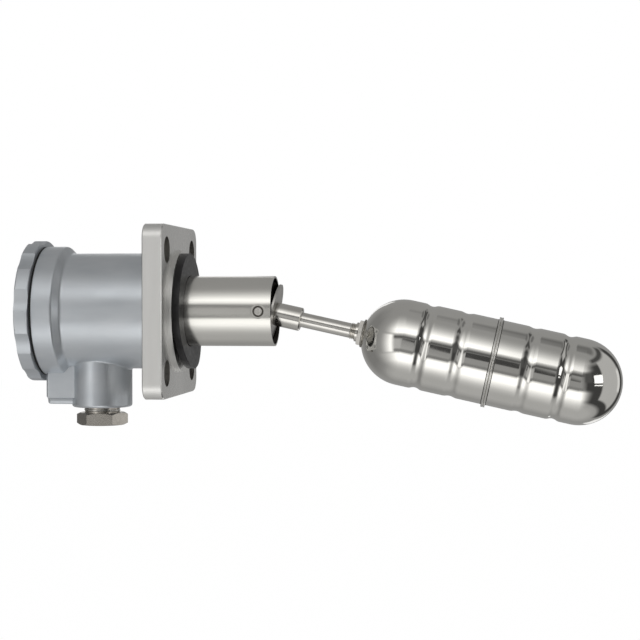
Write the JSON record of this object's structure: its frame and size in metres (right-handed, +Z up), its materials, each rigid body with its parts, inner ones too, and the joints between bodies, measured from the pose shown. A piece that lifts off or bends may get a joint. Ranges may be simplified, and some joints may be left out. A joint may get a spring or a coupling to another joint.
{
  "type": "float level switch",
  "caption": "Side-mounted magnetic float level switch: a float on a swinging arm works a sealed switch behind a square flange.",
  "frame": {"origin": "centre of the bolt pattern on the flange's front face", "axes": "+X out along the guide tube towards the float, +Z up"},
  "size_m": [0.3201, 0.092, 0.1084],
  "materials": {
    "grey_paint": "satin grey coating on cast aluminium",
    "turned_steel": "fine-turned stainless steel",
    "tube_steel": "drawn stainless steel, satin along its length",
    "arm_steel": "turned stainless steel",
    "float_steel": "mirror-polished stainless steel",
    "gasket_rubber": "black sheet rubber, smooth",
    "seal_rubber": "black moulded rubber",
    "plated_brass": "satin nickel plating",
    "zinc_steel": "bright zinc plating",
    "magnet_alloy": "ground magnet alloy",
    "switch_moulding": "black moulded thermoset",
    "button_moulding": "red moulded plastic",
    "contact_brass": "bare brass"
  },
  "bodies": {
    "root": {"housing": "grey_paint", "flange": "turned_steel", "guide_tube": "tube_steel", "flange_gasket": "gasket_rubber", "pivot_pin": "arm_steel", "base_seal": "seal_rubber", "gland_screw": "plated_brass", "gland_washers": "plated_brass", "gland_seal": "seal_rubber", "case_screws": "zinc_steel", "bracket_screws": "zinc_steel", "earth_screw": "contact_brass", "switch_bracket": "zinc_steel", "rocker_pin": "arm_steel", "switch_case": "switch_moulding", "leaf_pin": "zinc_steel", "switch_terminals": "contact_brass", "switch_screws": "zinc_steel", "switch_nuts": "zinc_steel"},
    "float_arm": {"float_lever": "arm_steel", "float_magnet": "magnet_alloy", "shield_disc": "arm_steel", "arm_sleeve": "arm_steel", "arm_rod": "arm_steel", "float_washer": "arm_steel", "float_nut": "arm_steel", "float_shell_near": "float_steel", "float_shell_far": "float_steel"},
    "rocker": {"rocker_lever": "contact_brass", "rocker_magnet": "magnet_alloy"},
    "leaf": {"leaf_lever": "arm_steel"},
    "button": {"switch_button": "button_moulding"},
    "cover_ring": {"cover_seal": "seal_rubber"},
    "cover": {"cover": "grey_paint"}
  },
  "joints": [
    {"name": "float_swing", "type": "hinge", "parent": "root", "child": "float_arm", "pos_m": [0.0461, 0, 0], "axis": [0, -1, 0], "range_deg": [0, 24.8]},
    {"name": "rocker_swing", "type": "hinge", "parent": "root", "child": "rocker", "pos_m": [-0.0307, 0, 0], "axis": [0, -1, 0], "range_deg": [0, 25]},
    {"name": "leaf_swing", "type": "hinge", "parent": "root", "child": "leaf", "pos_m": [-0.064, 0, 0.00536], "axis": [0, -1, 0], "range_deg": [-15.6, 0]},
    {"name": "button_travel", "type": "slide", "parent": "root", "child": "button", "axis": [0, 0, -1], "range_m": [0, 0.00102]},
    {"name": "cover_travel", "type": "slide", "parent": "root", "child": "cover_ring", "axis": [-1, 0, 0], "range_m": [0, 0.0101]},
    {"name": "cover_turn", "type": "hinge", "parent": "cover_ring", "child": "cover", "pos_m": [-0.078, 0, 0], "axis": [-1, 0, 0], "range_deg": [0, 1800]}
  ],
  "couplings": [
    {"joint": "rocker_swing", "follows": "float_swing", "ratio": 1},
    {"joint": "leaf_swing", "follows": "float_swing", "ratio": -0.621},
    {"joint": "button_travel", "follows": "float_swing", "m_per_rad": 0.00231},
    {"joint": "cover_travel", "follows": "cover_turn", "m_per_rad": 0.00031831}
  ]
}
